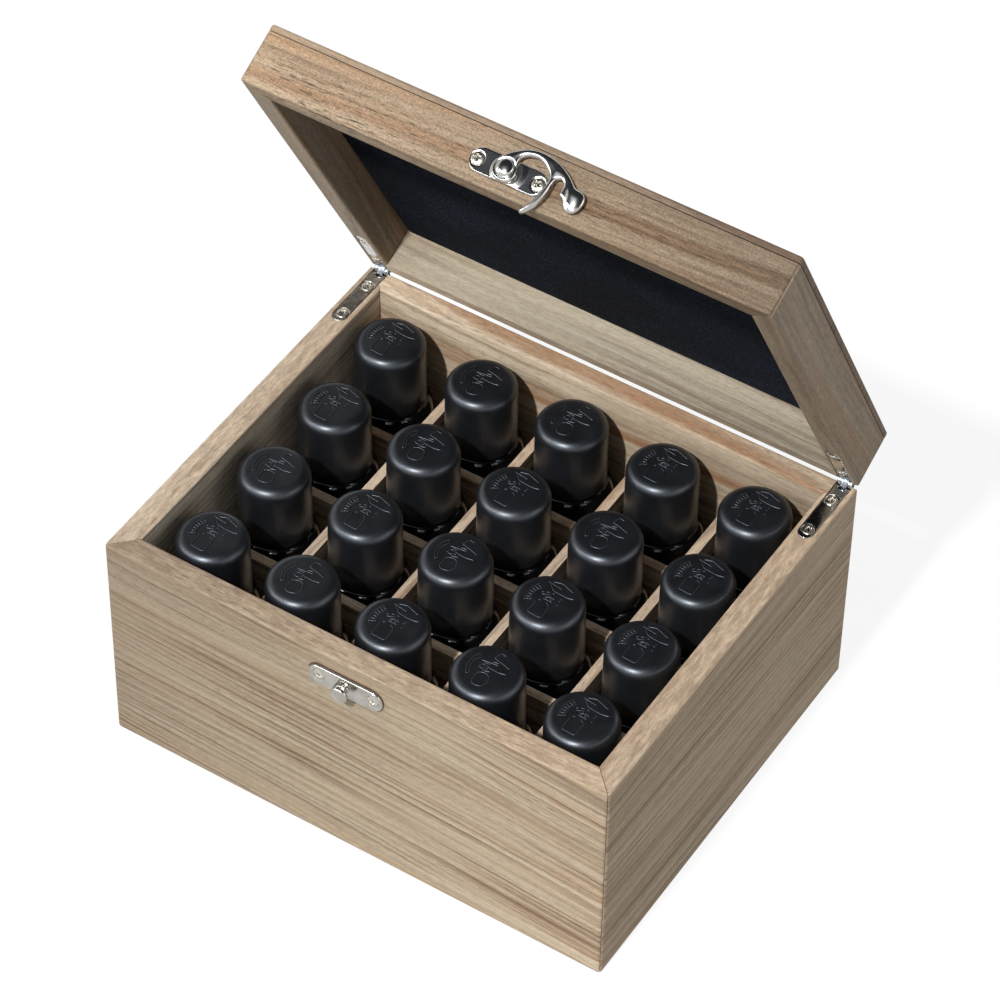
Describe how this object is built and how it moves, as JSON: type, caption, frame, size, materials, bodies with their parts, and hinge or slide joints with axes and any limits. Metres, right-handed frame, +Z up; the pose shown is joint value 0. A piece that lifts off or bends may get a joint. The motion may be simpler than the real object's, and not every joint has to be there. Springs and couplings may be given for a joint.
{
  "type": "essential oil storage box",
  "caption": "Hinged wooden box with mitred corners, a lined lid, a swinging hook latch and a half-lapped divider lattice whose cells hold small capped black bottles that lift out.",
  "frame": {"origin": "centre of the underside, on the face the box stands on", "axes": "+Z up, +X to the right along the front, +Y to the back, towards the hinges"},
  "size_m": [0.185, 0.1735, 0.2308],
  "materials": {
    "box_wood": "dry, fine-sanded walnut-toned wood with streaked grain",
    "divider_wood": "thin sawn strips of the same wood",
    "dark_velvet": "short-pile navy-black velvet on a board",
    "nickel_plate": "bright nickel plate on pressed and cast metal",
    "black_glass": "glossy opaque black glass",
    "black_plastic": "satin black moulded plastic"
  },
  "bodies": {
    "box": {"front_wall": "box_wood", "right_wall": "box_wood", "back_wall": "box_wood", "left_wall": "box_wood", "base_panel": "box_wood", "long_divider_1": "divider_wood", "long_divider_2": "divider_wood", "long_divider_3": "divider_wood", "long_divider_4": "divider_wood", "cross_divider_1": "divider_wood", "cross_divider_2": "divider_wood", "cross_divider_3": "divider_wood", "left_lower_leaf": "nickel_plate", "right_lower_leaf": "nickel_plate", "left_pin": "nickel_plate", "right_pin": "nickel_plate", "catch_plate": "nickel_plate", "left_lower_screw_1": "nickel_plate", "left_lower_screw_2": "nickel_plate", "right_lower_screw_1": "nickel_plate", "right_lower_screw_2": "nickel_plate", "catch_screw_1": "nickel_plate", "catch_screw_2": "nickel_plate"},
    "lid": {"lid_front_rail": "box_wood", "lid_right_rail": "box_wood", "lid_back_rail": "box_wood", "lid_left_rail": "box_wood", "lid_panel": "box_wood", "lid_lining": "dark_velvet", "left_upper_leaf": "nickel_plate", "right_upper_leaf": "nickel_plate", "latch_plate": "nickel_plate", "latch_rivet": "nickel_plate", "left_upper_screw_1": "nickel_plate", "left_upper_screw_2": "nickel_plate", "right_upper_screw_1": "nickel_plate", "right_upper_screw_2": "nickel_plate", "latch_screw_1": "nickel_plate", "latch_screw_2": "nickel_plate"},
    "hook": {"latch_hook": "nickel_plate"},
    "bottle_1_1": {"bottle_1_1": "black_glass"},
    "bottle_1_2": {"bottle_1_2": "black_glass"},
    "bottle_1_3": {"bottle_1_3": "black_glass"},
    "bottle_1_4": {"bottle_1_4": "black_glass"},
    "bottle_1_5": {"bottle_1_5": "black_glass"},
    "bottle_2_1": {"bottle_2_1": "black_glass"},
    "bottle_2_2": {"bottle_2_2": "black_glass"},
    "bottle_2_3": {"bottle_2_3": "black_glass"},
    "bottle_2_4": {"bottle_2_4": "black_glass"},
    "bottle_2_5": {"bottle_2_5": "black_glass"},
    "bottle_3_1": {"bottle_3_1": "black_glass"},
    "bottle_3_2": {"bottle_3_2": "black_glass"},
    "bottle_3_3": {"bottle_3_3": "black_glass"},
    "bottle_3_4": {"bottle_3_4": "black_glass"},
    "bottle_3_5": {"bottle_3_5": "black_glass"},
    "bottle_4_1": {"bottle_4_1": "black_glass"},
    "bottle_4_2": {"bottle_4_2": "black_glass"},
    "bottle_4_3": {"bottle_4_3": "black_glass"},
    "bottle_4_4": {"bottle_4_4": "black_glass"},
    "bottle_4_5": {"bottle_4_5": "black_glass"}
  },
  "joints": [
    {"name": "lid_hinge", "type": "hinge", "parent": "box", "child": "lid", "pos_m": [0, 0.075, 0.0872], "axis": [-1, 0, 0], "range_deg": [-62.3, 32.7]},
    {"name": "hook_swing", "type": "hinge", "parent": "lid", "child": "hook", "pos_m": [-0.0013, 0.01177, 0.22398], "axis": [0, -0.4648, 0.8854], "range_deg": [-96.5, 80]},
    {"name": "bottle_lift_1_1", "type": "slide", "parent": "box", "child": "bottle_1_1", "axis": [0, 0, 1], "range_m": [0, 0.056]},
    {"name": "bottle_lift_1_2", "type": "slide", "parent": "box", "child": "bottle_1_2", "axis": [0, 0, 1], "range_m": [0, 0.056]},
    {"name": "bottle_lift_1_3", "type": "slide", "parent": "box", "child": "bottle_1_3", "axis": [0, 0, 1], "range_m": [0, 0.056]},
    {"name": "bottle_lift_1_4", "type": "slide", "parent": "box", "child": "bottle_1_4", "axis": [0, 0, 1], "range_m": [0, 0.056]},
    {"name": "bottle_lift_1_5", "type": "slide", "parent": "box", "child": "bottle_1_5", "axis": [0, 0, 1], "range_m": [0, 0.056]},
    {"name": "bottle_lift_2_1", "type": "slide", "parent": "box", "child": "bottle_2_1", "axis": [0, 0, 1], "range_m": [0, 0.056]},
    {"name": "bottle_lift_2_2", "type": "slide", "parent": "box", "child": "bottle_2_2", "axis": [0, 0, 1], "range_m": [0, 0.056]},
    {"name": "bottle_lift_2_3", "type": "slide", "parent": "box", "child": "bottle_2_3", "axis": [0, 0, 1], "range_m": [0, 0.056]},
    {"name": "bottle_lift_2_4", "type": "slide", "parent": "box", "child": "bottle_2_4", "axis": [0, 0, 1], "range_m": [0, 0.056]},
    {"name": "bottle_lift_2_5", "type": "slide", "parent": "box", "child": "bottle_2_5", "axis": [0, 0, 1], "range_m": [0, 0.056]},
    {"name": "bottle_lift_3_1", "type": "slide", "parent": "box", "child": "bottle_3_1", "axis": [0, 0, 1], "range_m": [0, 0.056]},
    {"name": "bottle_lift_3_2", "type": "slide", "parent": "box", "child": "bottle_3_2", "axis": [0, 0, 1], "range_m": [0, 0.056]},
    {"name": "bottle_lift_3_3", "type": "slide", "parent": "box", "child": "bottle_3_3", "axis": [0, 0, 1], "range_m": [0, 0.056]},
    {"name": "bottle_lift_3_4", "type": "slide", "parent": "box", "child": "bottle_3_4", "axis": [0, 0, 1], "range_m": [0, 0.056]},
    {"name": "bottle_lift_3_5", "type": "slide", "parent": "box", "child": "bottle_3_5", "axis": [0, 0, 1], "range_m": [0, 0.056]},
    {"name": "bottle_lift_4_1", "type": "slide", "parent": "box", "child": "bottle_4_1", "axis": [0, 0, 1], "range_m": [0, 0.052]},
    {"name": "bottle_lift_4_2", "type": "slide", "parent": "box", "child": "bottle_4_2", "axis": [0, 0, 1], "range_m": [0, 0.052]},
    {"name": "bottle_lift_4_3", "type": "slide", "parent": "box", "child": "bottle_4_3", "axis": [0, 0, 1], "range_m": [0, 0.052]},
    {"name": "bottle_lift_4_4", "type": "slide", "parent": "box", "child": "bottle_4_4", "axis": [0, 0, 1], "range_m": [0, 0.052]},
    {"name": "bottle_lift_4_5", "type": "slide", "parent": "box", "child": "bottle_4_5", "axis": [0, 0, 1], "range_m": [0, 0.052]}
  ]
}
